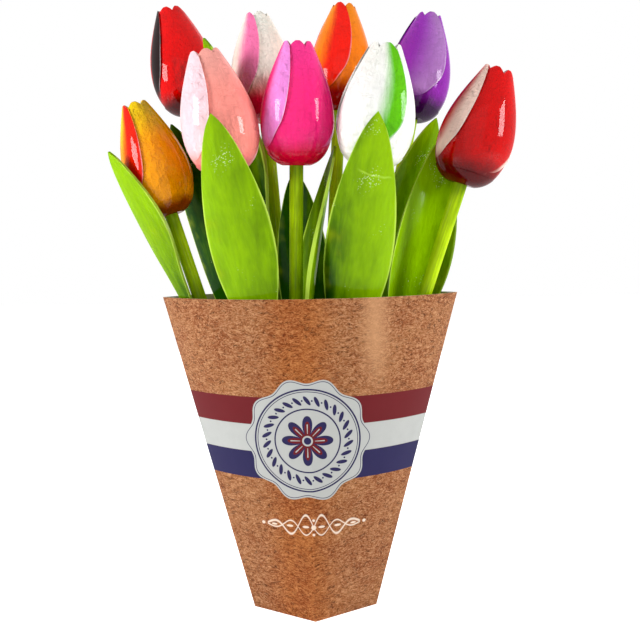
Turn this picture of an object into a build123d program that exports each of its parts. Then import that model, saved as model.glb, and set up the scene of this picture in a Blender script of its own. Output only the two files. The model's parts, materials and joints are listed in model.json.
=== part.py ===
from build123d import *
import math
import os

# Nine painted wooden tulips in a tapered sleeve of folded card.
# X runs to the right, Y away from the front of the sleeve and Z up. The origin is the middle of
# the whole bouquet's box, on the surface that the sleeve stands on. All lengths are in mm.

# Sleeve of folded card, a lens at the rim and a diamond at the bottom
sleeve_height = 192.0
rim_width = 177.0
rim_depth = 94.0
base_width = 75.0
base_depth = 54.0
card = 0.6

# Stem of round dowel
stem_diameter = 8.0
stem_gap = 0.7
stem_pitch = stem_diameter + stem_gap

# Flower head, turned and then carved into overlapping petals
head_width = 44.0
head_height = 70.0
petal_lift = 1.4
petal_wall = 2.8
bore_depth = 16.0
bore_clearance = 0.1
bore_end_gap = 0.5

# Leaf, a cupped blade whose foot is glued in a groove in the stem
leaf_length = 228.0
leaf_width = 37.0
leaf_thickness = 1.5
leaf_cup_radius = 28.0
leaf_bow_radius = 1120.0
leaf_seat_radius = 2.2
glue_gap = 0.1

# A whole tulip, from the stem's end to the petal tips
tulip_length = 337.0

# How far a cutting shape runs past what it cuts
overrun = 5.0

# Outline of the head, as shares of its height and of its half width
head_height_shares = (0.0, 0.04, 0.16, 0.36, 0.52, 0.68, 0.84, 1.0)
head_radius_shares = (0.36, 0.6, 0.87, 1.0, 0.955, 0.82, 0.625, 0.4)

# Carved edge of one petal, seen square on to the petal that it laps over, as shares of the
# head's height and of its half width
edge_height_shares = (0.1, 0.25, 0.36, 0.54, 0.75, 1.0)
edge_side_shares = (-0.84, -0.75, -0.63, -0.5, -0.375, -0.28)

# Crown of petal tips, as shares of the head's height and of its radius at the top
petal_count = 3
notch_depth_share = 0.07
notch_turn = 15
notch_side_share = 0.56

# Bowl between the petal tips, as shares of the head
bowl_depth_share = 0.2
bowl_floor_share = 0.25

# Outline of one edge of the leaf, as shares of its length and of its half width
leaf_rise_shares = (0.0, 0.3, 0.45, 0.51, 0.58, 0.68, 0.8, 0.9, 0.96)
leaf_half_shares = (0.16, 0.32, 0.51, 0.65, 0.86, 1.0, 0.88, 0.59, 0.32)

# The three rows in which the stems stand, as shares of half the sleeve's depth at the bottom
row_depth_shares = {"front": -0.63, "middle": -0.205, "back": -0.016}

# How steeply the sleeve's walls flare, sideways and in depth
side_flare = (rim_width - base_width) / 2 / sleeve_height
depth_flare = (rim_depth - base_depth) / 2 / sleeve_height

# Each tulip: the row and the place in it in stem pitches, the height of its stem's end as a share
# of the sleeve's height, its lean sideways and back as shares of the flare, its length and its
# head's width as shares, and the turn of the head about the stem.
# The leaf: the height of its foot as a share of the stem's length up to the head, its own length
# as a share, its direction about the stem, and its tilt sideways and splay outwards, in degrees.
tulips = {
    "yellow": dict(
        row="front", place=-0.57, lift_share=0.009, side_share=-1.2, back_share=0.45,
        length_share=0.953, head_share=0.94, turn=-64,
        foot_share=0.572, leaf_share=0.67, leaf_turn=-138, tilt=0.5, splay=5.3,
    ),
    "pink": dict(
        row="front", place=0.43, lift_share=0.004, side_share=-0.69, back_share=-0.485,
        length_share=1.0, head_share=1.03, turn=-61,
        foot_share=0.266, leaf_share=1.0, leaf_turn=-92, tilt=0, splay=0,
    ),
    "hot_pink": dict(
        row="middle", place=-1.45, lift_share=0.005, side_share=0.09, back_share=-0.62,
        length_share=1.0, head_share=1.0, turn=-70,
        foot_share=0.187, leaf_share=1.0, leaf_turn=10, tilt=0, splay=-1,
    ),
    "white_green": dict(
        row="middle", place=-0.45, lift_share=0.01, side_share=0.566, back_share=-0.8,
        length_share=1.0, head_share=1.05, turn=-15,
        foot_share=0.214, leaf_share=1.053, leaf_turn=-92, tilt=0, splay=0,
    ),
    "red_cream": dict(
        row="middle", place=0.55, lift_share=0.012, side_share=1.247, back_share=-0.362,
        length_share=1.0, head_share=1.03, turn=-85,
        foot_share=0.247, leaf_share=1.0, leaf_turn=105, tilt=2, splay=0.5,
    ),
    "red_black": dict(
        row="back", place=-1.66, lift_share=0.253, side_share=-0.85, back_share=1.53,
        length_share=1.0, head_share=0.97, turn=-84,
        foot_share=0.105, leaf_share=1.0, leaf_turn=-125, tilt=1, splay=0,
    ),
    "white_pink": dict(
        row="back", place=-0.6, lift_share=0.196, side_share=-0.3, back_share=1.5,
        length_share=1.0, head_share=0.97, turn=-55,
        foot_share=0.325, leaf_share=1.0, leaf_turn=-148, tilt=3, splay=4.5,
    ),
    "orange": dict(
        row="back", place=0.4, lift_share=0.219, side_share=0.237, back_share=1.5,
        length_share=1.0, head_share=0.94, turn=-40,
        foot_share=0.09, leaf_share=0.877, leaf_turn=-95, tilt=-6.5, splay=4,
    ),
    "purple": dict(
        row="back", place=1.4, lift_share=0.215, side_share=0.779, back_share=1.53,
        length_share=1.0, head_share=0.97, turn=-13,
        foot_share=0.135, leaf_share=1.0, leaf_turn=-60, tilt=0, splay=0,
    ),
}


def lens(width, depth, inset):
    """The rim's outline as four arcs between side creases and middles, drawn in by inset."""
    radius = ((width / 2) ** 2 + (depth / 2) ** 2) / depth
    drop = radius - depth / 2
    radius -= inset
    half_turn = math.acos(drop / radius)

    def point(turn, side):
        return (radius * math.sin(turn), side * (radius * math.cos(turn) - drop))

    arcs = []
    for side, turns in ((-1, (-1, -0.5, 0, 0.5, 1)), (1, (1, 0.5, 0, -0.5, -1))):
        points = [point(half_turn * turn, side) for turn in turns]
        arcs += [ThreePointArc(*points[0:3]), ThreePointArc(*points[2:5])]
    return make_face(arcs)


def diamond(width, depth, inset):
    """The bottom's outline as four straight sides, drawn in by inset."""
    keep = 1 - inset * math.hypot(2 / width, 2 / depth)
    x = keep * width / 2
    y = keep * depth / 2
    corners = [(-x, 0), (0, -y), (x, 0), (0, y), (-x, 0)]
    return make_face([Line(a, b) for a, b in zip(corners[:-1], corners[1:])])


def make_sleeve():
    """The open card tube: four ruled walls that turn from the diamond into the lens."""

    def block(inset):
        bottom = diamond(base_width, base_depth, inset)
        top = Pos(0, 0, sleeve_height) * lens(rim_width, rim_depth, inset)
        return loft([bottom, top], ruled=True)

    return block(0) - block(card)


def make_bud():
    """The turned bud before it is carved, from its flat base up to the petal tips."""
    half = head_width / 2
    points = [
        (half * radius, head_height * height)
        for height, radius in zip(head_height_shares, head_radius_shares)
    ]
    side = Spline(*points)
    base = Line((0, 0), points[0])
    top = Line(points[-1], (0, head_height))
    axis_line = Line((0, head_height), (0, 0))
    return revolve(Plane.XZ * make_face([base, side, top, axis_line]), Axis.Z)


def make_edge_cut(bud):
    """What is carved away beside one petal's edge, so that it stands proud of the next petal."""
    half = head_width / 2
    points = [
        (half * side, head_height * height)
        for height, side in zip(edge_height_shares, edge_side_shares)
    ]
    above = (points[-1][0], head_height + overrun)
    far_above = (half + overrun, head_height + overrun)
    far_below = (half + overrun, points[0][1])
    outline = [
        Spline(*points),
        Line(points[-1], above),
        Line(above, far_above),
        Line(far_above, far_below),
        Line(far_below, points[0]),
    ]
    beside = extrude(Plane.YZ * make_face(outline), head_width)
    return beside - Pos(-petal_lift, 0, -petal_lift) * bud


def make_notch():
    """One notch between two petal tips, with sides that curve like the tips."""
    half = head_width / 2
    side = half * head_radius_shares[-1] * notch_side_share
    depth = head_height * notch_depth_share
    bottom = (0, head_height - depth)
    left = (-side, head_height)
    right = (side, head_height)
    outline = [
        ThreePointArc(bottom, (-side / 3, head_height - depth / 2), left),
        Line(left, (-side, head_height + overrun)),
        Line((-side, head_height + overrun), (side, head_height + overrun)),
        Line((side, head_height + overrun), right),
        ThreePointArc(right, (side / 3, head_height - depth / 2), bottom),
    ]
    return extrude(Plane.YZ * make_face(outline), head_width)


def make_bowl():
    """The hollow between the tips, which leaves each tip a wall thick."""
    half = head_width / 2
    floor = head_height * (1 - bowl_depth_share)
    profile = [
        (0, floor),
        (half * bowl_floor_share, floor),
        (half * head_radius_shares[-1] - petal_wall, head_height),
        (half * head_radius_shares[-1] - petal_wall, head_height + overrun),
        (0, head_height + overrun),
        (0, floor),
    ]
    return revolve(Plane.XZ * make_face([Line(a, b) for a, b in zip(profile, profile[1:])]), Axis.Z)


def make_head():
    """The carved head: three petals that lap round it, and a crown of six tips round a bowl."""
    bud = make_bud()
    edge_cut = make_edge_cut(bud)
    notch = make_notch()
    step = 360 / petal_count
    head = bud - make_bowl()
    for number in range(petal_count):
        head -= Rot(0, 0, step * number) * edge_cut
        head -= Rot(0, 0, step * number + notch_turn) * notch
        head -= Rot(0, 0, step * (number + 0.5) + notch_turn) * notch
    return head


def leaf_section(inner_radius, outer_reach, half_width):
    """The cupped section across a leaf's foot, hollow towards the stem."""
    middle = leaf_seat_radius - leaf_cup_radius

    def on_arc(radius, y):
        return (middle + math.sqrt(radius**2 - y**2), y)

    outer_radius = inner_radius + outer_reach
    inner = ThreePointArc(
        on_arc(inner_radius, -half_width), on_arc(inner_radius, 0), on_arc(inner_radius, half_width)
    )
    outer = ThreePointArc(
        on_arc(outer_radius, -half_width), on_arc(outer_radius, 0), on_arc(outer_radius, half_width)
    )
    ends = [
        Line(on_arc(inner_radius, side), on_arc(outer_radius, side))
        for side in (-half_width, half_width)
    ]
    return make_face([inner, outer, *ends])


def leaf_outline(length, width, margin):
    """The leaf's outline seen square on, moved down by margin and let out by it on both edges."""

    def edge(side):
        return [
            (side * (width / 2 * half + margin), length * rise - margin)
            for rise, half in zip(leaf_rise_shares, leaf_half_shares)
        ]

    left = edge(-1)
    right = edge(1)
    tip = (0, length - margin)
    return Plane.YZ * make_face([Spline(*left, tip), Spline(*right, tip), Line(left[0], right[0])])


def sweep_leaf(section, outline, length):
    """Sweeps a section along the leaf's bow and keeps what lies inside the outline."""
    turn_axis = Axis((leaf_seat_radius + leaf_bow_radius, 0, 0), (0, 1, 0))
    turn = math.degrees((length + overrun) / leaf_bow_radius)
    bowed = revolve(section, turn_axis, turn)
    reach = head_width + leaf_cup_radius
    return bowed & extrude(outline, reach, both=True)


def make_leaf(length):
    """A leaf whose foot stands at the origin, with its outer side towards +X."""
    width = leaf_width * length / leaf_length
    section = leaf_section(leaf_cup_radius, leaf_thickness, width / 2 + glue_gap)
    return sweep_leaf(section, leaf_outline(length, width, 0), length)


def make_groove(length):
    """What the leaf's foot needs cut out of the stem, with room for the glue."""
    width = leaf_width * length / leaf_length
    reach = stem_diameter + glue_gap
    section = leaf_section(leaf_cup_radius - glue_gap, reach, width / 2 + glue_gap)
    turn_axis = Axis((leaf_seat_radius + leaf_bow_radius, 0, 0), (0, 1, 0))
    outline = leaf_outline(length, width, glue_gap)
    bowed = revolve(section, turn_axis, math.degrees(length / 2 / leaf_bow_radius))
    below = extrude(section, -2 * glue_gap)
    return (bowed + below) & extrude(outline, stem_diameter + leaf_cup_radius, both=True)


def tulip_plane(tulip):
    """The plane across a tulip's stem end, with its Z along the stem."""
    lean = Vector(tulip["side_share"] * side_flare, tulip["back_share"] * depth_flare, 1)
    foot = Vector(
        tulip["place"] * stem_pitch,
        row_depth_shares[tulip["row"]] * base_depth / 2,
        tulip["lift_share"] * sleeve_height,
    )
    return Plane(origin=foot, x_dir=Vector(1, 0, -lean.X), z_dir=lean)


def head_rise(tulip):
    """How far up the stem the bottom of the head is."""
    return tulip["length_share"] * tulip_length - head_height


def leaf_place(tulip):
    """Where a leaf's foot sits on its own stem."""
    rise = Pos(0, 0, tulip["foot_share"] * head_rise(tulip))
    turn = Rot(0, 0, tulip["leaf_turn"])
    return rise * turn * Rot(-tulip["tilt"], 0, 0) * Rot(0, tulip["splay"], 0)


def make_stem(tulip):
    """The dowel from its foot into the head, grooved for the leaf's foot."""
    length = head_rise(tulip) + bore_depth - bore_end_gap
    dowel = Pos(0, 0, length / 2) * Cylinder(stem_diameter / 2, length)
    return dowel - leaf_place(tulip) * make_groove(tulip["leaf_share"] * leaf_length)


def place_head(tulip, head):
    """A carved head at its own width, bored for the stem and turned as it stands."""
    bud = Rot(0, 0, tulip["turn"]) * head
    bud = scale(bud, by=(tulip["head_share"], tulip["head_share"], 1))
    bore_radius = stem_diameter / 2 + bore_clearance
    bore = Pos(0, 0, (bore_depth - overrun) / 2) * Cylinder(bore_radius, bore_depth + overrun)
    return Pos(0, 0, head_rise(tulip)) * (bud - bore)


def main():
    os.makedirs("parts", exist_ok=True)
    pieces = {"sleeve": make_sleeve()}
    head = make_head()
    for name, tulip in tulips.items():
        place = tulip_plane(tulip).location
        leaf = leaf_place(tulip) * make_leaf(tulip["leaf_share"] * leaf_length)
        pieces[f"head_{name}"] = place * place_head(tulip, head)
        pieces[f"stem_{name}"] = place * make_stem(tulip)
        pieces[f"leaf_{name}"] = place * leaf

    # the origin goes under the middle of the whole bouquet
    boxes = [piece.bounding_box() for piece in pieces.values()]
    middle_x = (min(box.min.X for box in boxes) + max(box.max.X for box in boxes)) / 2
    middle_y = (min(box.min.Y for box in boxes) + max(box.max.Y for box in boxes)) / 2
    for name, piece in pieces.items():
        export_step(Pos(-middle_x, -middle_y, 0) * piece, f"parts/{name}.step")


if __name__ == "__main__":
    main()
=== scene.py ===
import json
import math

import bpy
from bpy.props import (
    CollectionProperty,
    FloatProperty,
    FloatVectorProperty,
    IntProperty,
    PointerProperty,
    StringProperty,
)
from mathutils import Euler, Matrix, Vector


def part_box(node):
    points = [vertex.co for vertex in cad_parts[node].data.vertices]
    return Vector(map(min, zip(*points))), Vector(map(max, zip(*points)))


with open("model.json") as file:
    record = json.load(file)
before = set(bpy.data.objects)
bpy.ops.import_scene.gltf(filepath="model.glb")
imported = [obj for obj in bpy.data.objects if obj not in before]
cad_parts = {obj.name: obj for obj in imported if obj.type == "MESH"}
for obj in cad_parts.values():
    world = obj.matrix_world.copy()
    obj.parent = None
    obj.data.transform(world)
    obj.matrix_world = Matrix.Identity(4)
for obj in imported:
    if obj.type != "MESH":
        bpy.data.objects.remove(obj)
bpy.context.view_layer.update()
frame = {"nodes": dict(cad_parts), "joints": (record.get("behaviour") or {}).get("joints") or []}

bl_info = {
    "name": "Wooden Tulips",
    "version": (1, 0, 0),
    "blender": (4, 5, 0),
    "location": "View3D > Sidebar > Tulips",
    "description": "Paints nine carved wooden tulips and prints their card sleeve",
    "category": "Object",
}

MM = 0.001

# The sleeve, and the head and leaf that every tulip shares, in metres
SLEEVE_HEIGHT = 192 * MM
HEAD_HEIGHT = 70 * MM
HEAD_HALF_WIDTH = 22 * MM
LEAF_LENGTH = 228 * MM
LEAF_HALF_WIDTH = 18.5 * MM
TULIP_LENGTH = 337 * MM
STEM_PITCH = 8.7 * MM
ROW_DEPTHS = {"front": -17.01 * MM, "middle": -5.535 * MM, "back": -0.432 * MM}

# Shares that shape a head: its outline, and the carved edge where a petal laps over the next one
HEAD_OUTLINE = ((0, 0.36), (0.04, 0.6), (0.16, 0.87), (0.36, 1), (0.52, 0.955), (0.68, 0.82),
                (0.84, 0.625), (1, 0.4))
PETAL_EDGE = ((0.1, -0.84), (0.25, -0.75), (0.36, -0.63), (0.54, -0.5), (0.75, -0.375), (1, -0.28))
PETALS = 3
PETAL_STEP = 360 / PETALS

# How far round the head that carved edge is, in degrees, by the height as a share
EDGE_TURNS = ((0, -95), (0.1, -88), (0.17, -67), (0.25, -53), (0.36, -39), (0.54, -32), (0.75, -30),
              (0.88, -34), (1, -44))

# Outline of one edge of a leaf: shares of its length and of its half width
LEAF_OUTLINE = ((0, 0.16), (0.3, 0.32), (0.45, 0.51), (0.51, 0.65), (0.58, 0.86), (0.68, 1),
                (0.8, 0.88), (0.9, 0.59), (0.96, 0.32), (1, 0.05))

# Each tulip: row, place in it in stem pitches, height of the stem's end as a share of the sleeve's,
# length and head width as shares, and turn of the head; then its leaf: height of the foot as a
# share of the stem below the head, length as a share, direction, tilt and splay in degrees
TULIPS = {
    "yellow": ("front", -0.57, 0.009, 0.953, 0.94, -64, 0.572, 0.67, -138, 0.5, 5.3),
    "pink": ("front", 0.43, 0.004, 1, 1.03, -61, 0.266, 1, -92, 0, 0),
    "hot_pink": ("middle", -1.45, 0.005, 1, 1, -70, 0.187, 1, 10, 0, -1),
    "white_green": ("middle", -0.45, 0.01, 1, 1.05, -15, 0.214, 1.053, -92, 0, 0),
    "red_cream": ("middle", 0.55, 0.012, 1, 1.03, -85, 0.247, 1, 105, 2, 0.5),
    "red_black": ("back", -1.66, 0.253, 1, 0.97, -84, 0.105, 1, -125, 1, 0),
    "white_pink": ("back", -0.6, 0.196, 1, 0.97, -55, 0.325, 1, -148, 3, 4.5),
    "orange": ("back", 0.4, 0.219, 1, 0.94, -40, 0.09, 0.877, -95, -6.5, 4),
    "purple": ("back", 1.4, 0.215, 1, 0.97, -13, 0.135, 1, -60, 0, 0),
}

# Paint of each head, as sRGB bytes: its tip, belly and foot, and the colour sprayed along the free
# edge of each petal; then how far round from that edge the spray is solid and where it ends, in
# degrees, how high the foot's colour reaches, as a share, and the share of the spray's reach on
# the petals to the right of the front edge, behind and to the left
HEAD_PAINTS = {
    "yellow": ((255, 214, 10), (255, 162, 0), (150, 62, 2), (232, 28, 2), 26, 52, 0.15, (0, 1, 1)),
    "pink": ((255, 172, 160), (254, 150, 138), (240, 130, 130), (248, 208, 216), 74, 100, 0.16,
             (0, 1, 1)),
    "hot_pink": ((254, 52, 144), (255, 36, 126), (220, 0, 50), (240, 140, 220), 30, 52, 0.22,
                 (0.3, 1, 1)),
    "white_green": ((248, 248, 240), (250, 250, 246), (234, 232, 214), (98, 196, 0), 22, 50, 0.1,
                    (0, 0, 1)),
    "red_cream": ((214, 0, 0), (198, 0, 0), (92, 0, 4), (246, 210, 196), 16, 46, 0.26,
                  (0.3, 0.6, 1)),
    "red_black": ((232, 2, 2), (222, 0, 0), (74, 0, 4), (30, 10, 12), 30, 44, 0.2, (0.2, 1, 1)),
    "white_pink": ((250, 248, 236), (248, 234, 222), (214, 0, 52), (255, 122, 178), 26, 60, 0.4,
                   (0, 1, 1)),
    "orange": ((255, 144, 0), (255, 130, 0), (128, 4, 0), (248, 22, 0), 34, 66, 0.34, (0, 1, 1)),
    "purple": ((156, 44, 186), (146, 38, 172), (48, 0, 60), (172, 118, 188), 12, 74, 0.26,
               (0.4, 1, 1)),
}

# Paint of each leaf, and painted shade on it: how deep its green is, which is painted shade on the
# leaves that stand in shade;
# how much deeper it gets towards its right-hand edge, seen from outside (or its left, where
# negative), and towards its foot, both painted shade; and how far up it a ridge of paint runs
# across it, as a share, if one does
LEAF_PAINTS_AND_SHADE = {
    "yellow": (0.04, 0.08, 0.8, 0.0),
    "pink": (0.2, 0.16, 0.35, 0.0),
    "hot_pink": (0.4, 0.1, 0.6, 0.0),
    "white_green": (0.14, -0.42, 0.9, 0.86),
    "red_cream": (0.2, -0.35, 0.2, 0.0),
    "red_black": (0.86, 0.0, 0.5, 0.0),
    "white_pink": (0.4, 0.0, 1.2, 0.0),
    "orange": (0.9, -0.1, 0.6, 0.0),
    "purple": (0.3, 0.0, 0.6, 0.0),
}

# Shine of each piece: weight and roughness of its coat of lacquer, and the paint's own level
HEAD_SHINE = (0.32, 0.06, 0.0)
GREEN_SHINE = (0.16, 0.14, 0.0)
CARD_SHINE = (0.14, 0.3, 0.03)

# Colours that are not settings, as sRGB bytes
LEAF_YELLOW = (186, 206, 0)
# A painted glint, as pale specks on the leaves' lacquer
PAINTED_GLINT_SPECK = (236, 248, 190)
BARE_WOOD = (196, 170, 112)
PLAIN_CARD = ((196, 186, 170), (228, 221, 208))
SCROLL_CREAM = (244, 226, 208)

# And as linear RGBA
WHITE = (1, 1, 1, 1)
CREASE_SHADE = (0.012, 0.004, 0.004, 1)
HOLLOW_SHADE = (0.05, 0.015, 0.01, 1)
FLOOR_TONES = ((0.95, 0.95, 0.95, 1), (0.98, 0.98, 0.98, 1))

# Fibres in the kraft print: their turn in degrees, stretch, scale and strength
KRAFT_FIBRES = ((7, 5.0, 170.0, 0.6), (-16, 4.5, 210.0, 0.6), (30, 4.0, 160.0, 0.35),
                (-48, 4.0, 130.0, 0.2))

# How soft the edges of the print are: on rings, on lines and stripes, and on filled shapes
RING_SOFT = 0.08 * MM
LINE_SOFT = 0.12 * MM
SHAPE_SOFT = 0.2 * MM

# The seal, as it is drawn before it is scaled: its radius, where the line round its edge starts and
# ends, and its rings as radius and width
SEAL_RADIUS = 33.3 * MM
SEAL_LINE = (0.9 * MM, 1.3 * MM)
SEAL_RINGS = ((28.4 * MM, 0.9 * MM), (27.1 * MM, 0.4 * MM), (17.6 * MM, 0.8 * MM))

# Its border: slanted leaves with dots between them, as shift in cells, slant in degrees, half
# length and half width
BORDER_RADIUS = 22.3 * MM
BORDER_CELLS = 26.0
BORDER_MARKS = ((0.0, 38, 3.3 * MM, 1.15 * MM), (0.5, 0, 0.55 * MM, 0.55 * MM))

# Its rosette: each layer of petals as sharpness, reach along a petal beyond that between two, and
# reach between two; then the ends of the line up each petal, and the radii of the button
ROSETTE_PETALS = 8
OUTER_PETALS = (0.7, 9.2 * MM, 4.8 * MM)
INNER_PETALS = (1.6, 7.2 * MM, 3.7 * MM)
PETAL_LINE = (4.0 * MM, 9.2 * MM)
BUTTON_RADII = (2.9 * MM, 2.0 * MM)

# The scroll: how far it reaches each side, the length of its waves, each wave as height and half
# thickness, and its beads as place, rise, half length and half width
SCROLL_REACH = 27.5 * MM
SCROLL_WAVE = 18.5 * MM
SCROLL_WAVES = ((7.4 * MM, 0.46 * MM), (-5.0 * MM, 0.34 * MM))
SCROLL_BEADS = (
    (0.0, 0.0, 1.6 * MM, 1.6 * MM), (4.6 * MM, 0.1 * MM, 2.1 * MM, 0.8 * MM),
    (13.9 * MM, 0.0, 2.1 * MM, 0.8 * MM), (23.1 * MM, 0.0, 1.8 * MM, 0.7 * MM),
    (29.7 * MM, 0.0, 1.1 * MM, 1.1 * MM), (0.0, 4.4 * MM, 0.9 * MM, 0.9 * MM),
    (0.0, -4.4 * MM, 0.9 * MM, 0.9 * MM),
)

# The stage: sizes of the lamps, height that they look at, reach of the floor, width of the
# camera's sensor in mm, and how near it sees
LAMP_SIZES = {"left": (0.27, 0.36), "right": (0.24, 0.36), "front": (1.2, 1.2), "back": (1.2, 1.2)}
AIM_HEIGHT = 0.27
FLOOR_REACH = 3.0
SENSOR_WIDTH = 36
NEAREST = 0.01


def linear(colour):
    """A colour socket's linear RGBA from sRGB, given as bytes."""
    def part(byte):
        share = byte / 255
        return share / 12.92 if share <= 0.04045 else ((share + 0.055) / 1.055) ** 2.4

    return (*(part(byte) for byte in colour), 1)


def sleeve_middle():
    """The middle of the sleeve, on the surface that it stands on."""
    low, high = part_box("sleeve")
    return Vector(((low[0] + high[0]) / 2, (low[1] + high[1]) / 2, 0))


def stem_matrix(name):
    """The frame at a tulip's stem end, with its Z along the stem."""
    row, place, lift = TULIPS[name][:3]
    axis = {joint["child"]: joint["axis"] for joint in frame["joints"]}[f"tulip_{name}"]
    z = Vector(axis).normalized()
    x = Vector((1, 0, -z.x / z.z)).normalized()
    matrix = Matrix((x, z.cross(x), z)).transposed().to_4x4()
    matrix.translation = sleeve_middle() + Vector(
        (place * STEM_PITCH, ROW_DEPTHS[row], lift * SLEEVE_HEIGHT)
    )
    return matrix


def head_rise(name):
    """How far up its stem the bottom of a head is."""
    return TULIPS[name][3] * TULIP_LENGTH - HEAD_HEIGHT


def head_matrix(name):
    """The frame at the bottom of a tulip's head, turned as the head is."""
    rise = Matrix.Translation((0, 0, head_rise(name)))
    return stem_matrix(name) @ rise @ Matrix.Rotation(math.radians(TULIPS[name][5]), 4, "Z")


def leaf_matrix(name):
    """The frame at a leaf's foot, with X outwards from the stem and Y across the blade."""
    foot, _, turn, tilt, splay = TULIPS[name][6:]
    matrix = stem_matrix(name) @ Matrix.Translation((0, 0, foot * head_rise(name)))
    for angle, axis in ((turn, "Z"), (-tilt, "X"), (splay, "Y")):
        matrix = matrix @ Matrix.Rotation(math.radians(angle), 4, axis)
    return matrix


class Graph:
    """A material's nodes. Its methods add nodes and give back an output socket, and take either
    sockets or plain values."""

    def __init__(self, name):
        self.material = bpy.data.materials.new(name)
        self.material.use_nodes = True
        self.tree = self.material.node_tree
        self.tree.nodes.clear()

    def node(self, kind, inputs=(), output=0, **settings):
        """Adds a node. An input is a socket to link or a value; output is the one given back."""
        new = self.tree.nodes.new(kind)
        for key, value in settings.items():
            setattr(new, key, value)
        for key, value in dict(inputs).items():
            if isinstance(value, bpy.types.NodeSocket):
                self.tree.links.new(value, new.inputs[key])
            else:
                new.inputs[key].default_value = value
        return new.outputs[output] if new.outputs else None

    def math(self, operation, *values, clamp=False):
        return self.node(
            "ShaderNodeMath", enumerate(values), operation=operation, use_clamp=clamp
        )

    def vector(self, operation, *values):
        return self.node("ShaderNodeVectorMath", enumerate(values), operation=operation)

    def mix(self, factor, a, b, blend="MIX"):
        inputs = {0: factor, 6: a, 7: b}
        return self.node("ShaderNodeMix", inputs, 2, data_type="RGBA", blend_type=blend)

    def tint(self, colour, mask, amount, other):
        """A colour taken some of the way to another where a mask is 1."""
        return self.mix(self.math("MULTIPLY", mask, amount), colour, other)

    def rise(self, value, start, end):
        """0 below start and 1 above end, or the other way round where end is lower."""
        inputs = {0: value, 1: start, 2: end, 3: 0.0, 4: 1.0}
        if isinstance(start, float) and isinstance(end, float) and end < start:
            inputs = {0: value, 1: end, 2: start, 3: 1.0, 4: 0.0}
        return self.node("ShaderNodeMapRange", inputs, interpolation_type="SMOOTHSTEP")

    def between(self, value, low, high, soft):
        """1 between two values, with soft ends."""
        up = self.rise(value, low - soft, low + soft)
        down = self.rise(value, high + soft, high - soft)
        return self.math("MULTIPLY", up, down)

    def curve(self, value, points):
        """Reads a smooth curve, given as (x from 0 to 1, y) points."""
        low = min(y for _, y in points)
        span = max(y for _, y in points) - low
        new = self.tree.nodes.new("ShaderNodeFloatCurve")
        line = new.mapping.curves[0]
        while len(line.points) < len(points):
            line.points.new(0.5, 0.5)
        for point, (x, y) in zip(line.points, points):
            point.location = (x, (y - low) / span)
        new.mapping.update()
        self.tree.links.new(value, new.inputs["Value"])
        return self.math("MULTIPLY_ADD", new.outputs[0], span, low)

    def noise(self, vector, scale, detail=3.0, roughness=0.5, distortion=0.0):
        inputs = {
            "Vector": vector, "Scale": scale, "Detail": detail, "Roughness": roughness,
            "Distortion": distortion,
        }
        return self.node("ShaderNodeTexNoise", inputs)

    def swing(self, *settings):
        """Noise about 0, with the settings of noise."""
        return self.math("SUBTRACT", self.noise(*settings), 0.5)

    def place(self):
        """The point in the frame that all the pieces share, with every joint at rest."""
        return self.node("ShaderNodeTexCoord", output="Object")

    def local(self, matrix):
        """The point in the frame that matrix gives, in metres."""
        back = matrix.inverted()
        inputs = {
            "Vector": self.place(), "Location": back.translation, "Rotation": back.to_euler(),
        }
        return self.node("ShaderNodeMapping", inputs, vector_type="POINT")

    def length(self, a, b):
        """How long the line across two distances is."""
        squares = (self.math("POWER", side, 2.0) for side in (a, b))
        return self.math("SQRT", self.math("ADD", *squares))

    def shaded(self, colour, amount):
        """A colour made lighter or darker by a factor."""
        return self.mix(1.0, colour, self.join(amount, amount, amount), "MULTIPLY")

    def split(self, vector):
        new = self.tree.nodes.new("ShaderNodeSeparateXYZ")
        self.tree.links.new(vector, new.inputs[0])
        return new.outputs[0], new.outputs[1], new.outputs[2]

    def join(self, x, y, z):
        return self.node("ShaderNodeCombineXYZ", {0: x, 1: y, 2: z})

    def bump(self, height, strength, distance, normal=None):
        inputs = {"Height": height, "Strength": strength, "Distance": distance}
        if normal is not None:
            inputs["Normal"] = normal
        return self.node("ShaderNodeBump", inputs)

    def finish(self, colour, roughness, normal, coat=0.0, coat_roughness=0.05, specular=0.5):
        """Ends the graph in a shader and gives back the material."""
        inputs = {
            "Base Color": colour, "Roughness": roughness, "Normal": normal, "Coat Weight": coat,
            "Coat Roughness": coat_roughness, "Specular IOR Level": specular,
        }
        shader = self.node("ShaderNodeBsdfPrincipled", inputs)
        self.node("ShaderNodeOutputMaterial", {"Surface": shader})
        return self.material


def set_material(obj, material):
    """Puts one material on every slot of an object."""
    if not obj.material_slots:
        obj.data.materials.append(material)
    for slot in obj.material_slots:
        slot.material = material


def colour_property(name, description, default):
    """A colour, as sRGB bytes."""
    return FloatVectorProperty(
        name=name, description=description, size=3, min=0, max=255, default=default
    )


def share_property(name, description, default, low=0, high=1):
    """A share, from 0 to 1 unless it says otherwise."""
    return FloatProperty(
        name=name, description=description, subtype="FACTOR", min=low, max=high, default=default
    )


def angle_property(name, description, degrees):
    """An angle, given in degrees and kept in radians."""
    return FloatProperty(
        name=name, description=description, subtype="ANGLE", default=math.radians(degrees)
    )


def length_property(name, description, default):
    """A length or height on the sleeve, in metres."""
    return FloatProperty(name=name, description=description, unit="LENGTH", default=default)


def power_property(name, default):
    """The power of a lamp."""
    return FloatProperty(name=name, description="Power in watts", unit="POWER", default=default)


def place_property(name, default):
    """The place of a lamp or the camera, in metres."""
    return FloatVectorProperty(
        name=name, description="Place from the sleeve's middle", subtype="TRANSLATION",
        default=default,
    )


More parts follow.
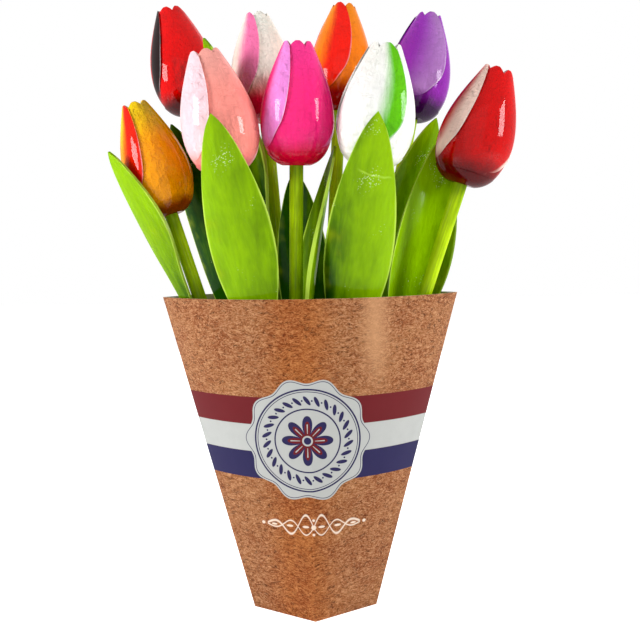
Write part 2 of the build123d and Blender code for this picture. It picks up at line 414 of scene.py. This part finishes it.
class HeadPaint(bpy.types.PropertyGroup):
    """Paint of one flower head; colours are sRGB bytes."""

    name: StringProperty(name="Tulip", description="Which tulip this paint is for", default="")
    tip: colour_property("Tip", "Colour of the petals' tips", (248, 40, 128))
    belly: colour_property("Belly", "Colour of the petals' middles", (250, 12, 100))
    foot: colour_property("Foot", "Colour round the stem", (218, 0, 50))
    spray: colour_property("Spray", "Colour along each petal's free edge", (240, 146, 222))
    solid: angle_property("Solid", "How far round from the edge the spray is solid", 28)
    fade: angle_property("Fade", "How far round from the edge the spray has faded out", 50)
    foot_height: share_property("Foot height", "How high the foot's colour reaches", 0.24)
    reach: FloatVectorProperty(
        name="Reach", description="Share of the spray's reach on the right, back and left petal",
        size=3, min=0, max=1, default=(1, 1, 1),
    )


class LeafPaintAndShade(bpy.types.PropertyGroup):
    """Paint of one leaf, and the painted shade on it."""

    name: StringProperty(name="Tulip", description="Which tulip this leaf is on", default="")
    # deep, side and low are painted shade
    deep: share_property("Deep", "How deep the green is", 0.2, -2, 2)
    side: share_property("Side", "How much deeper it gets towards one edge", 0.0, -2, 2)
    low: share_property("Low", "How much deeper it gets towards the foot", 0.5, -2, 2)
    ridge: share_property("Ridge", "How far up it a ridge of paint runs across, or 0", 0.0)


class GreenPaint(bpy.types.PropertyGroup):
    """Paint of the leaves and stems."""

    # Painted shade, as well as uneven paint, takes a leaf from bright towards deep
    bright: colour_property("Bright", "Leaf where the paint is thick", (144, 192, 0))
    deep: colour_property("Deep", "Leaf where the paint is thin", (22, 66, 0))
    edge: colour_property("Edge", "Rim of the blade", (198, 232, 84))
    # Painted shade under each head and down in the sleeve, as well as streaks, takes a stem towards
    # the deep stem colour
    stem: colour_property("Stem", "Stem where the paint is thick", (194, 230, 14))
    stem_deep: colour_property("Deep stem", "Streaks on the stem", (78, 124, 2))


class SleevePrint(bpy.types.PropertyGroup):
    """Print on the card sleeve."""

    kraft: colour_property("Kraft", "Ground colour of the print", (152, 94, 54))
    kraft_deep: colour_property("Deep kraft", "Redder blotches in it", (136, 72, 34))
    kraft_dark: colour_property("Dark kraft", "Gaps between its fibres", (72, 32, 12))
    kraft_pale: colour_property("Pale kraft", "Its pale fibres", (208, 156, 112))
    # Painted shade: a deeper, redder band just left of the crease
    kraft_crease_shade: colour_property("Rust", "Tint of the print left of the crease", (254, 218, 160))
    stripe_red: colour_property("Red stripe", "Upper stripe", (106, 27, 32))
    stripe_white: colour_property("White stripe", "Middle stripe and seal", (188, 190, 187))
    stripe_blue: colour_property("Blue stripe", "Lower stripe and seal's lines", (42, 38, 80))
    stripe_top: length_property("Stripes' top", "Height of the upper edge", 0.1355)
    stripe_step: length_property("Stripe height", "Height of each stripe", 0.0165)
    seal_height: length_property("Seal height", "Height of the seal's middle", 0.1105)
    seal_side: length_property("Seal side", "How far right of the crease it is", -0.0026)
    seal_radius: length_property("Seal radius", "Mean radius of the seal", 0.0354)
    scallops: IntProperty(
        name="Scallops", description="Scallops round the seal", min=4, max=40, default=10
    )
    scallop_depth: length_property("Scallop depth", "How far they swing out and in", 0.0016)
    scroll_height: length_property("Scroll height", "Height of the scroll", 0.0585)


class StageSettings(bpy.types.PropertyGroup):
    """Camera, lamps and white background."""

    camera_place: place_property("Camera", (0.0057, -0.59, 0.225))
    camera_pitch: angle_property("Pitch", "How far down the camera looks", 4.7)
    camera_roll: angle_property("Roll", "How far the camera is turned about its view", -1.0)
    focal_length: FloatProperty(
        name="Focal length", description="Of the camera's lens, in mm", default=55.24
    )
    sky: FloatProperty(name="Sky", description="Strength of the even white light", default=0.24)
    floor_glow: FloatProperty(
        name="Floor glow", description="White added to the floor where it is seen", default=0.78
    )
    left_power: power_property("Left lamp", 7.0)
    right_power: power_property("Right lamp", 6.0)
    front_power: power_property("Front lamp", 1.8)
    back_power: power_property("Back lamp", 5.0)
    left_place: place_property("Left lamp's place", (-0.82, -0.36, 0.47))
    right_place: place_property("Right lamp's place", (0.84, -0.32, 0.45))
    front_place: place_property("Front lamp's place", (-0.1, -1.15, 0.6))
    back_place: place_property("Back lamp's place", (0.2, 1.2, 0.6))


class TulipSettings(bpy.types.PropertyGroup):
    """Everything that a user would change."""

    heads: CollectionProperty(type=HeadPaint, name="Heads", description="Paint of each head")
    leaves: CollectionProperty(type=LeafPaintAndShade, name="Leaves", description="Paint of each leaf")
    green: PointerProperty(type=GreenPaint, name="Green", description="Leaves and stems")
    sleeve: PointerProperty(type=SleevePrint, name="Sleeve", description="Print on the sleeve")
    stage: PointerProperty(type=StageSettings, name="Stage", description="Camera and lamps")


def add_petals(graph, x, y, height):
    """Masks of the three petals, how far round from each petal's free edge a point is, in degrees,
    and how far it is past each carved edge, as a share of the head's half width."""
    edge = graph.curve(height, PETAL_EDGE)
    edge_turn = graph.curve(height, EDGE_TURNS)
    radius = graph.length(x, y)
    turned = graph.math("MULTIPLY", graph.math("ARCTAN2", y, x), math.degrees(1))
    inside, past, before = [], [], []
    for number in range(PETALS):
        degrees = graph.math("SUBTRACT", turned, float(PETAL_STEP * number))
        round_front = graph.math("WRAP", degrees, 180.0, -180.0)
        radians = graph.math("MULTIPLY", degrees, math.radians(1))
        sideways = graph.math("MULTIPLY", radius, graph.math("SINE", radians))
        ahead = graph.math("SUBTRACT", sideways, edge)
        front = graph.math("LESS_THAN", graph.math("ABSOLUTE", round_front), 90.0)
        inside.append(graph.math("MULTIPLY", graph.rise(ahead, -0.004, 0.004), front))
        past.append(ahead)
        before.append(graph.math("WRAP", graph.math("SUBTRACT", edge_turn, degrees), 360.0, 0.0))
    masks = []
    for number in range(PETALS):
        after = (number + 1) % PETALS
        outside = graph.math("SUBTRACT", 1.0, inside[after])
        masks.append(graph.math("MULTIPLY", inside[number], outside))

    # a petal's free edge is the one that is carved on the next petal
    return masks, before[1:] + before[:1], past


def head_material(name, paint):
    """Gloss paint on a carved head: three lapping petals, each sprayed along its free edge."""
    graph = Graph(f"head_paint_{name}")
    width = HEAD_HALF_WIDTH * TULIPS[name][4]
    metres = graph.local(head_matrix(name))
    shares = graph.vector("MULTIPLY", metres, (1 / width, 1 / width, 1 / HEAD_HEIGHT))
    x, y, height = graph.split(shares)
    masks, to_edge, past = add_petals(graph, x, y, height)
    free, sprayed, crease_shade_mask = 0.0, 0.0, 0.0
    for mask, distance, ahead, reach in zip(masks, to_edge, past, paint.reach):
        free = graph.math("ADD", free, graph.math("MULTIPLY", mask, distance))
        far = graph.math("MULTIPLY", distance, 1 / max(reach, 0.01))
        sprayed = graph.math("ADD", sprayed, graph.math("MULTIPLY", mask, far))
        # painted shade: a strip along each carved edge, darkened in the crease
        near = graph.math("MULTIPLY", mask, graph.rise(ahead, 0.045, 0.0))
        crease_shade_mask = graph.math("MAXIMUM", crease_shade_mask, near)
    crease_shade_mask = graph.math("MULTIPLY", crease_shade_mask, graph.rise(height, 0.12, 0.2))

    # brush marks run up the petals
    radius = graph.length(x, y)
    over_x, over_y = (graph.math("DIVIDE", side, radius) for side in (x, y))
    marks = graph.vector("MULTIPLY", graph.join(over_x, over_y, height), (3.2, 3.2, 1.1))
    streaks = graph.swing(marks, 4.0, 4.0, 0.62)
    fine = graph.swing(marks, 22.0, 3.0, 0.6)
    cloud = graph.swing(metres, 60.0, 3.0, 0.55)

    # belly and tip, then the spray along the free edges, then the foot
    colour = graph.mix(graph.rise(height, 0.55, 0.95), linear(paint.belly), linear(paint.tip))
    wander = graph.math("MULTIPLY_ADD", streaks, 12.0, sprayed)
    wander = graph.math("MULTIPLY_ADD", fine, 6.0, wander)
    spray = graph.rise(wander, math.degrees(paint.fade), math.degrees(paint.solid))
    spray = graph.math("MULTIPLY", spray, graph.rise(height, 0.08, 0.24))
    colour = graph.mix(spray, colour, linear(paint.spray))
    low = graph.math("MULTIPLY_ADD", cloud, 0.12, height)
    foot = graph.rise(low, paint.foot_height, paint.foot_height * 0.35)
    foot = graph.math("MULTIPLY", foot, graph.math("MULTIPLY_ADD", spray, -0.55, 1.0))
    colour = graph.mix(foot, colour, linear(paint.foot))

    # the paint is uneven, with painted shade deeper in the creases and a painted highlight pale
    # along each free edge
    shade = graph.math("MULTIPLY_ADD", streaks, 0.3, 1.0)
    shade = graph.math("MULTIPLY_ADD", cloud, 0.34, shade)
    shade = graph.math("MULTIPLY_ADD", fine, 0.12, shade)
    colour = graph.shaded(colour, shade)
    colour = graph.tint(colour, crease_shade_mask, 0.5, CREASE_SHADE)
    # painted highlight: white along each free edge
    rim = graph.math("MULTIPLY", graph.rise(free, 4.0, 1.0), graph.rise(height, 0.15, 0.3))
    colour = graph.tint(colour, rim, 0.3, WHITE)

    # and painted shade darkens it down in the bowl between the tips
    bowl_shade = graph.rise(graph.math("SUBTRACT", graph.curve(height, HEAD_OUTLINE), radius), 0.1, 0.2)
    bowl_shade = graph.math("MULTIPLY", bowl_shade, graph.math("GREATER_THAN", height, 0.7))
    colour = graph.tint(colour, bowl_shade, 0.6, HOLLOW_SHADE)

    # the lacquer is uneven, so that lights break up in it
    lumps = graph.noise(metres, 95.0, 2.0, 0.5)
    runs = graph.noise(metres, 260.0, 3.0, 0.6, 0.8)
    normal = graph.bump(lumps, 0.7, 0.0036)
    normal = graph.bump(runs, 0.8, 0.0018, normal)
    normal = graph.bump(streaks, 0.35, 0.0006, normal)
    roughness = graph.math("MULTIPLY_ADD", cloud, 0.2, 0.34)
    return graph.finish(colour, roughness, normal, *HEAD_SHINE)


class TULIPS_OT_paint_heads(bpy.types.Operator):
    """Paint the nine carved heads"""

    bl_idname = "tulips.paint_heads"
    bl_label = "Paint Heads"

    def execute(self, context):
        heads = context.scene.tulip_settings.heads
        heads.clear()
        for name, (*colours, solid, fade, foot_height, reach) in HEAD_PAINTS.items():
            head = heads.add()
            head.name = name
            head.tip, head.belly, head.foot, head.spray = colours
            head.solid, head.fade = math.radians(solid), math.radians(fade)
            head.foot_height, head.reach = foot_height, reach
        for head in heads:
            set_material(frame["nodes"][f"head_{head.name}"], head_material(head.name, head))
        return {"FINISHED"}


def leaf_material(name, leaf, paint):
    """Gloss green on a thin blade, brushed along its length, with a paler rim, painted shade and
    painted glints.
    """
    graph = Graph(f"leaf_paint_{name}")
    share = TULIPS[name][7]
    metres = graph.local(leaf_matrix(name))
    x, y, z = graph.split(metres)
    along = graph.math("DIVIDE", z, LEAF_LENGTH * share)
    half = graph.math("MULTIPLY", graph.curve(along, LEAF_OUTLINE), LEAF_HALF_WIDTH * share)
    across = graph.math("DIVIDE", y, half)
    off = graph.math("ABSOLUTE", across)

    marks = graph.vector("MULTIPLY", graph.join(y, x, z), (70.0, 70.0, 9.0))
    streaks = graph.swing(marks, 2.6, 4.0, 0.6, 0.4)
    fine = graph.swing(marks, 11.0, 3.0, 0.6)
    patches = graph.swing(metres, 34.0, 3.0, 0.55)

    # painted shade: the green deepens towards the foot and towards one side, and on the leaves that
    # stand in shade
    low = graph.math("POWER", graph.math("SUBTRACT", 1.0, along, clamp=True), 1.6)
    deep = graph.math("MULTIPLY_ADD", low, leaf.low * 1.7, leaf.deep)
    deep = graph.math("MULTIPLY_ADD", across, leaf.side, deep)
    deep = graph.math("MULTIPLY_ADD", streaks, 0.75, deep)
    deep = graph.math("MULTIPLY_ADD", patches, 0.85, deep)
    colour = graph.mix(graph.rise(deep, -0.05, 1.05), linear(paint.bright), linear(paint.deep))
    yellow = graph.rise(patches, 0.02, 0.2)
    colour = graph.tint(colour, yellow, 0.3, linear(LEAF_YELLOW))
    colour = graph.shaded(colour, graph.math("MULTIPLY_ADD", fine, 0.32, 1.0))
    if leaf.ridge:
        wavy = graph.math("MULTIPLY_ADD", patches, 0.05, along)
        wavy = graph.math("MULTIPLY_ADD", across, 0.008, wavy)
        ridge = graph.between(wavy, leaf.ridge - 0.002, leaf.ridge + 0.002, 0.0025)
        ridge = graph.math("MULTIPLY", ridge, graph.between(across, -0.4, 0.8, 0.15))
        colour = graph.tint(colour, ridge, 0.5, linear(paint.edge))
    rim = graph.rise(off, 0.93, 0.985)
    colour = graph.tint(colour, rim, 0.8, linear(paint.edge))

    # brush ridges, and painted glints: pale specks in patches, standing in for light caught on the
    # lacquer
    cells = graph.node("ShaderNodeTexVoronoi", {"Vector": metres, "Scale": 820.0}, feature="F1")
    where = graph.rise(graph.noise(metres, 62.0, 3.0, 0.6), 0.59, 0.72)
    glint_specks = graph.math("MULTIPLY", graph.rise(cells, 0.34, 0.16), where)
    colour = graph.tint(colour, glint_specks, 0.75, linear(PAINTED_GLINT_SPECK))
    normal = graph.bump(patches, 0.6, 0.004)
    normal = graph.bump(graph.math("MULTIPLY_ADD", fine, 0.6, streaks), 0.6, 0.001, normal)
    normal = graph.bump(glint_specks, 0.5, 0.0003, normal)
    roughness = graph.math("MULTIPLY_ADD", patches, 0.3, 0.36)
    return graph.finish(colour, roughness, normal, *GREEN_SHINE)


class TULIPS_OT_paint_leaves(bpy.types.Operator):
    """Paint the nine leaves"""

    bl_idname = "tulips.paint_leaves"
    bl_label = "Paint Leaves"

    def execute(self, context):
        settings = context.scene.tulip_settings
        settings.leaves.clear()
        for name, (deep, side, low, ridge) in LEAF_PAINTS_AND_SHADE.items():
            leaf = settings.leaves.add()
            leaf.name, leaf.deep, leaf.side, leaf.low, leaf.ridge = name, deep, side, low, ridge
        for leaf in settings.leaves:
            material = leaf_material(leaf.name, leaf, settings.green)
            set_material(frame["nodes"][f"leaf_{leaf.name}"], material)
        return {"FINISHED"}


def stem_material(name, paint):
    """Green paint on a dowel, with the wood's grain showing through in streaks."""
    graph = Graph(f"stem_paint_{name}")
    metres = graph.local(stem_matrix(name))
    _, _, z = graph.split(metres)
    marks = graph.vector("MULTIPLY", metres, (1.0, 1.0, 0.05))
    streaks = graph.swing(marks, 420.0, 4.0, 0.6)
    fine = graph.swing(marks, 1500.0, 2.0, 0.5)
    patches = graph.swing(metres, 60.0, 2.0, 0.5)
    deep = graph.math("MULTIPLY_ADD", streaks, 1.5, 0.14)
    deep = graph.math("MULTIPLY_ADD", patches, 0.9, deep)

    # painted shade: it deepens just under the head, and down in the sleeve
    top = head_rise(name)
    shade_under_head = graph.math("MULTIPLY", graph.rise(z, top - 30 * MM, top), 0.35)
    shade_in_sleeve = graph.math("MULTIPLY", graph.rise(z, 240 * MM, 120 * MM), 0.5)
    deep = graph.math("ADD", deep, shade_under_head)
    deep = graph.math("ADD", deep, shade_in_sleeve, clamp=True)
    colour = graph.mix(deep, linear(paint.stem), linear(paint.stem_deep))
    colour = graph.shaded(colour, graph.math("MULTIPLY_ADD", fine, 0.5, 1.0))
    colour = graph.mix(graph.rise(z, 1.2 * MM, 0.2 * MM), colour, linear(BARE_WOOD))
    normal = graph.bump(streaks, 0.5, 0.0004)
    return graph.finish(colour, 0.36, normal, *GREEN_SHINE)


class TULIPS_OT_paint_stems(bpy.types.Operator):
    """Paint the nine stems"""

    bl_idname = "tulips.paint_stems"
    bl_label = "Paint Stems"

    def execute(self, context):
        for name in TULIPS:
            set_material(
                frame["nodes"][f"stem_{name}"],
                stem_material(name, context.scene.tulip_settings.green),
            )
        return {"FINISHED"}


def add_fibres(graph, point, turn, stretch, scale):
    """Thin fibres that all lie about one way, 1 along their middles."""
    turned = graph.node(
        "ShaderNodeVectorRotate", {"Vector": point, "Angle": math.radians(turn)},
        rotation_type="Y_AXIS",
    )
    squeezed = graph.vector("MULTIPLY", turned, (1.0, 1.0, stretch))
    wave = graph.swing(squeezed, scale, 2.0, 0.5, 0.8)
    return graph.rise(graph.math("ABSOLUTE", wave), 0.055, 0.0)


def add_kraft(graph, paint, point, x, z):
    """Brown paper with short matted fibres, printed on the card."""
    # the fibres wander, so the point is pushed about before they are drawn
    drift = graph.node("ShaderNodeTexNoise", {"Vector": point, "Scale": 70.0, "Detail": 2.0}, 1)
    drift = graph.vector("SUBTRACT", drift, (0.5, 0.5, 0.5))
    point = graph.vector("MULTIPLY_ADD", drift, (0.008, 0.008, 0.008), point)
    blotches = graph.noise(point, 40.0, 4.0, 0.6)
    matted = graph.noise(graph.vector("MULTIPLY", point, (1.0, 1.0, 2.6)), 250.0, 5.0, 0.7, 0.3)
    grit = graph.noise(graph.vector("MULTIPLY", point, (1.0, 1.0, 1.8)), 700.0, 3.0, 0.7)
    kraft, deep = linear(paint.kraft), linear(paint.kraft_deep)
    dark, pale = linear(paint.kraft_dark), linear(paint.kraft_pale)
    colour = graph.mix(graph.rise(blotches, 0.36, 0.66), deep, kraft)
    colour = graph.tint(colour, graph.rise(matted, 0.5, 0.32), 0.9, dark)
    colour = graph.tint(colour, graph.rise(matted, 0.5, 0.7), 0.7, pale)
    for turn, stretch, scale, amount in KRAFT_FIBRES:
        fibres = add_fibres(graph, point, turn, stretch, scale)
        fibres = graph.math("MULTIPLY", fibres, graph.rise(grit, 0.42, 0.58))
        colour = graph.tint(colour, fibres, amount, pale)
    colour = graph.tint(colour, graph.rise(grit, 0.44, 0.3), 0.75, dark)

    # painted shade: the print is deeper and redder just left of the middle crease
    from_left, from_right = graph.rise(x, -34 * MM, -12 * MM), graph.rise(x, 22 * MM, -4 * MM)
    band = graph.math("MULTIPLY", from_left, from_right)
    band = graph.math("MULTIPLY", band, graph.math("MULTIPLY_ADD", blotches, 0.5, 0.5))
    colour = graph.mix(band, colour, linear(paint.kraft_crease_shade), "MULTIPLY")

    # and a painted sheen, paler where the card bends, right of it and near the rim
    bend_sheen = graph.between(x, 31 * MM, 43 * MM, 7 * MM)
    bend_sheen = graph.math("MULTIPLY", bend_sheen, graph.rise(z, 125 * MM, 170 * MM))
    return graph.tint(colour, bend_sheen, 0.7, pale)


def add_ring(graph, radius, middle, width):
    """1 on a thin ring of the seal."""
    return graph.between(radius, middle - width / 2, middle + width / 2, RING_SOFT)


def add_border(graph, angle, radius):
    """1 on the slanted leaves of the seal's border and on the dots between them."""
    line = 0.0
    turn = graph.math("MULTIPLY", angle, BORDER_CELLS / (2 * math.pi))
    for shift, slant, long, wide in BORDER_MARKS:
        cell = graph.math("FRACT", graph.math("ADD", turn, BORDER_CELLS + shift))
        cell = graph.math("SUBTRACT", cell, 0.5)
        side = graph.math("MULTIPLY", cell, radius)
        side = graph.math("MULTIPLY", side, 2 * math.pi / BORDER_CELLS)
        off = graph.math("SUBTRACT", radius, BORDER_RADIUS)
        cosine, sine = math.cos(math.radians(slant)), math.sin(math.radians(slant))
        down_leaf = graph.math(
            "ADD", graph.math("MULTIPLY", off, cosine / long),
            graph.math("MULTIPLY", side, sine / long),
        )
        over_leaf = graph.math(
            "SUBTRACT", graph.math("MULTIPLY", side, cosine / wide),
            graph.math("MULTIPLY", off, sine / wide),
        )
        leaf = graph.rise(graph.length(down_leaf, over_leaf), 1.0, 0.84)
        line = graph.math("MAXIMUM", line, leaf)
    return line


def add_rosette(graph, colour, angle, radius, white, blue, red):
    """Two layers of petals, with a line up each petal and a button in the middle."""
    lobe = graph.math("MULTIPLY", angle, ROSETTE_PETALS / 2)
    lobe = graph.math("ABSOLUTE", graph.math("COSINE", lobe))
    for (sharpness, along, between), paint in ((OUTER_PETALS, blue), (INNER_PETALS, red)):
        reach = graph.math("MULTIPLY_ADD", graph.math("POWER", lobe, sharpness), along, between)
        petal = graph.rise(graph.math("SUBTRACT", reach, radius), 0.0, SHAPE_SOFT)
        colour = graph.mix(petal, colour, paint)
    vein = graph.between(radius, *PETAL_LINE, SHAPE_SOFT)
    vein = graph.math("MULTIPLY", graph.rise(lobe, 0.985, 0.995), vein)
    colour = graph.mix(vein, colour, white)
    for edge, paint in zip(BUTTON_RADII, (white, blue)):
        button = graph.rise(radius, edge + SHAPE_SOFT / 2, edge - SHAPE_SOFT / 2)
        colour = graph.mix(button, colour, paint)
    return colour


def add_seal(graph, paint, colour, x, z):
    """A plain scalloped seal: rings, a border of leaves and an eight-petalled rosette."""
    scale = SEAL_RADIUS / paint.seal_radius
    up = graph.math("MULTIPLY", graph.math("SUBTRACT", z, paint.seal_height), scale)
    x = graph.math("MULTIPLY", graph.math("SUBTRACT", x, paint.seal_side), scale)
    radius = graph.length(x, up)
    angle = graph.math("ARCTAN2", up, x)
    wave = graph.math("COSINE", graph.math("MULTIPLY", angle, float(paint.scallops)))
    rim = graph.math("MULTIPLY_ADD", wave, paint.scallop_depth, SEAL_RADIUS)
    inward = graph.math("SUBTRACT", rim, radius)
    stripes = (paint.stripe_white, paint.stripe_blue, paint.stripe_red)
    white, blue, red = (linear(stripe) for stripe in stripes)
    seal = graph.rise(inward, 0.0, SHAPE_SOFT)
    colour = graph.mix(seal, colour, white)
    line = graph.between(inward, *SEAL_LINE, LINE_SOFT)
    for middle, width in SEAL_RINGS:
        line = graph.math("MAXIMUM", line, add_ring(graph, radius, middle, width))
    line = graph.math("MAXIMUM", line, add_border(graph, angle, radius))
    colour = graph.tint(colour, line, seal, blue)
    return add_rosette(graph, colour, angle, radius, white, blue, red)


def add_scroll(graph, paint, colour, x, z):
    """A symmetrical scroll under the seal: two crossing waves, with leaves in them and beads."""
    up = graph.math("SUBTRACT", z, paint.scroll_height)
    side = graph.math("ABSOLUTE", x)
    envelope = graph.math("MULTIPLY_ADD", graph.rise(side, SCROLL_REACH, 2 * MM), 0.75, 0.25)
    inside = graph.rise(side, SCROLL_REACH, SCROLL_REACH - 0.6 * MM)
    turn = 2 * math.pi / SCROLL_WAVE
    wave = graph.math("SINE", graph.math("MULTIPLY", side, turn))
    line = 0.0
    for height, thick in SCROLL_WAVES:
        middle = graph.math("MULTIPLY", graph.math("MULTIPLY", wave, height), envelope)
        away = graph.math("ABSOLUTE", graph.math("SUBTRACT", up, middle))
        stroke = graph.rise(away, thick * (1 + turn * abs(height) * 0.55), thick * 0.5)
        line = graph.math("MAXIMUM", line, graph.math("MULTIPLY", stroke, inside))
    for place, rise, long, wide in SCROLL_BEADS:
        bead = graph.length(
            graph.math("DIVIDE", graph.math("SUBTRACT", side, place), long),
            graph.math("DIVIDE", graph.math("SUBTRACT", up, rise), wide),
        )
        line = graph.math("MAXIMUM", line, graph.rise(bead, 1.0, 0.8))
    return graph.tint(colour, line, 0.92, linear(SCROLL_CREAM))


def sleeve_material(paint):
    """Laminated card, printed outside and plain inside."""
    graph = Graph("sleeve_print")
    point = graph.local(Matrix.Translation(sleeve_middle()))
    x, y, z = graph.split(point)
    colour = add_kraft(graph, paint, point, x, z)

    # three worn stripes, and on the front the seal and the scroll
    top = paint.stripe_top
    wear = graph.math("MULTIPLY_ADD", graph.noise(point, 120.0, 4.0, 0.65), 0.16, 0.92)
    for stripe in (paint.stripe_red, paint.stripe_white, paint.stripe_blue):
        band = graph.between(z, top - paint.stripe_step, top, LINE_SOFT)
        colour = graph.mix(band, colour, graph.shaded(linear(stripe), wear))
        top -= paint.stripe_step
    dressed = add_seal(graph, paint, colour, x, z)
    dressed = add_scroll(graph, paint, dressed, x, z)
    colour = graph.mix(graph.math("LESS_THAN", y, 0.0), colour, dressed)

    # plain card inside, and on the cut edges
    normal_x, normal_y, normal_z = graph.split(graph.node("ShaderNodeTexCoord", output="Normal"))
    outwards = graph.math(
        "ADD", graph.math("MULTIPLY", normal_x, x),
        graph.math("MULTIPLY", graph.math("MULTIPLY", normal_y, y), 3.0),
    )
    outside = graph.rise(outwards, 0.0, 0.002)
    level = graph.rise(graph.math("ABSOLUTE", normal_z), 0.8, 0.9)
    speckle = graph.noise(point, 700.0, 3.0, 0.6)
    plain = graph.mix(speckle, *(linear(tone) for tone in PLAIN_CARD))
    printed = graph.math("MULTIPLY", outside, graph.math("SUBTRACT", 1.0, level))
    colour = graph.mix(printed, plain, colour)

    relief = graph.bump(graph.noise(point, 16.0, 2.0, 0.5), 0.4, 0.006)
    relief = graph.bump(graph.noise(point, 900.0, 3.0, 0.6), 0.08, 0.0002, relief)
    roughness = graph.math("MULTIPLY_ADD", speckle, 0.12, 0.4)
    return graph.finish(colour, roughness, relief, *CARD_SHINE)


class TULIPS_OT_print_sleeve(bpy.types.Operator):
    """Print the card sleeve"""

    bl_idname = "tulips.print_sleeve"
    bl_label = "Print Sleeve"

    def execute(self, context):
        set_material(frame["nodes"]["sleeve"], sleeve_material(context.scene.tulip_settings.sleeve))
        return {"FINISHED"}


def add_area(name, place, target, size, power):
    """An area light that looks at a point."""
    light = bpy.data.lights.new(name, "AREA")
    light.shape = "RECTANGLE"
    light.size, light.size_y = size
    light.energy = power
    obj = bpy.data.objects.new(name, light)
    obj.location = place
    obj.rotation_euler = (target - place).to_track_quat("-Z", "Y").to_euler()
    bpy.context.scene.collection.objects.link(obj)


def seen_rays(nodes, links):
    """1 for rays from the camera, and for those that a gloss or a glass sends on."""
    path = nodes.new("ShaderNodeLightPath")
    total = path.outputs["Is Camera Ray"]
    for ray in ("Is Glossy Ray", "Is Transmission Ray"):
        added = nodes.new("ShaderNodeMath")
        added.operation = "MAXIMUM"
        links.new(total, added.inputs[0])
        links.new(path.outputs[ray], added.inputs[1])
        total = added.outputs[0]
    return total


def floor_material(glow):
    """A white floor that keeps the soft shadow of what stands on it."""
    graph = Graph("floor_white")
    grain = graph.noise(graph.place(), 300.0, 2.0, 0.5)
    colour = graph.mix(grain, *FLOOR_TONES)
    material = graph.finish(colour, 0.7, graph.bump(grain, 0.02, 0.0001))
    nodes, links = graph.tree.nodes, graph.tree.links
    output = next(node for node in nodes if node.type == "OUTPUT_MATERIAL")
    lit = output.inputs["Surface"].links[0].from_socket
    strength = graph.math("MULTIPLY", seen_rays(nodes, links), glow)
    white = graph.node("ShaderNodeEmission", {"Color": WHITE, "Strength": strength})
    both = graph.node("ShaderNodeAddShader", {0: lit, 1: white})
    links.new(both, output.inputs["Surface"])
    return material


def studio_world(sky):
    """An even sky that is seen as plain white."""
    world = bpy.data.worlds.new("studio")
    world.use_nodes = True
    nodes, links = world.node_tree.nodes, world.node_tree.links
    nodes.clear()
    mixed = nodes.new("ShaderNodeMixShader")
    links.new(seen_rays(nodes, links), mixed.inputs[0])
    for place, strength in ((1, sky), (2, 1.0)):
        light = nodes.new("ShaderNodeBackground")
        light.inputs["Color"].default_value = WHITE
        light.inputs["Strength"].default_value = strength
        links.new(light.outputs[0], mixed.inputs[place])
    output = nodes.new("ShaderNodeOutputWorld")
    links.new(mixed.outputs[0], output.inputs["Surface"])
    return world


class TULIPS_OT_set_stage(bpy.types.Operator):
    """Set the floor, the lights and the camera"""

    bl_idname = "tulips.set_stage"
    bl_label = "Set Stage"

    def execute(self, context):
        settings = context.scene.tulip_settings.stage
        scene = context.scene

        mesh = bpy.data.meshes.new("floor")
        corners = [
            (x * FLOOR_REACH, y * FLOOR_REACH, 0) for x, y in ((-1, -1), (1, -1), (1, 1), (-1, 1))
        ]
        mesh.from_pydata(corners, [], [(0, 1, 2, 3)])
        floor = bpy.data.objects.new("floor", mesh)
        scene.collection.objects.link(floor)
        floor.data.materials.append(floor_material(settings.floor_glow))
        scene.world = studio_world(settings.sky)

        middle = sleeve_middle()
        target = middle + Vector((0, 0, AIM_HEIGHT))
        for side, size in LAMP_SIZES.items():
            place = middle + Vector(getattr(settings, f"{side}_place"))
            add_area(f"{side}_lamp", place, target, size, getattr(settings, f"{side}_power"))

        data = bpy.data.cameras.new("camera")
        data.sensor_width = SENSOR_WIDTH
        data.lens = settings.focal_length
        data.clip_start = NEAREST
        camera = bpy.data.objects.new("camera", data)
        camera.location = middle + Vector(settings.camera_place)
        look = Euler((math.radians(90) - settings.camera_pitch, 0, 0)).to_matrix()
        roll = Matrix.Rotation(settings.camera_roll, 3, "Z")
        camera.rotation_euler = (look @ roll).to_euler()
        scene.collection.objects.link(camera)
        scene.camera = camera
        scene.view_settings.view_transform = "Standard"
        return {"FINISHED"}


class TULIPS_PT_panel(bpy.types.Panel):
    """Lists the steps in the sidebar"""

    bl_idname = "TULIPS_PT_panel"
    bl_label = "Wooden Tulips"
    bl_space_type = "VIEW_3D"
    bl_region_type = "UI"
    bl_category = "Tulips"

    def draw(self, context):
        for operator in OPERATORS:
            self.layout.operator(operator.bl_idname)


OPERATORS = (
    TULIPS_OT_print_sleeve,
    TULIPS_OT_paint_stems,
    TULIPS_OT_paint_leaves,
    TULIPS_OT_paint_heads,
    TULIPS_OT_set_stage,
)

CLASSES = (
    HeadPaint,
    LeafPaintAndShade,
    GreenPaint,
    SleevePrint,
    StageSettings,
    TulipSettings,
    *OPERATORS,
    TULIPS_PT_panel,
)


def register():
    for item in CLASSES:
        bpy.utils.register_class(item)
    bpy.types.Scene.tulip_settings = PointerProperty(type=TulipSettings)


def unregister():
    del bpy.types.Scene.tulip_settings
    for item in reversed(CLASSES):
        bpy.utils.unregister_class(item)


def main():
    register()
    for operator in OPERATORS:
        group, step = operator.bl_idname.split(".")
        getattr(getattr(bpy.ops, group), step)()


if __name__ == "__main__":
    main()
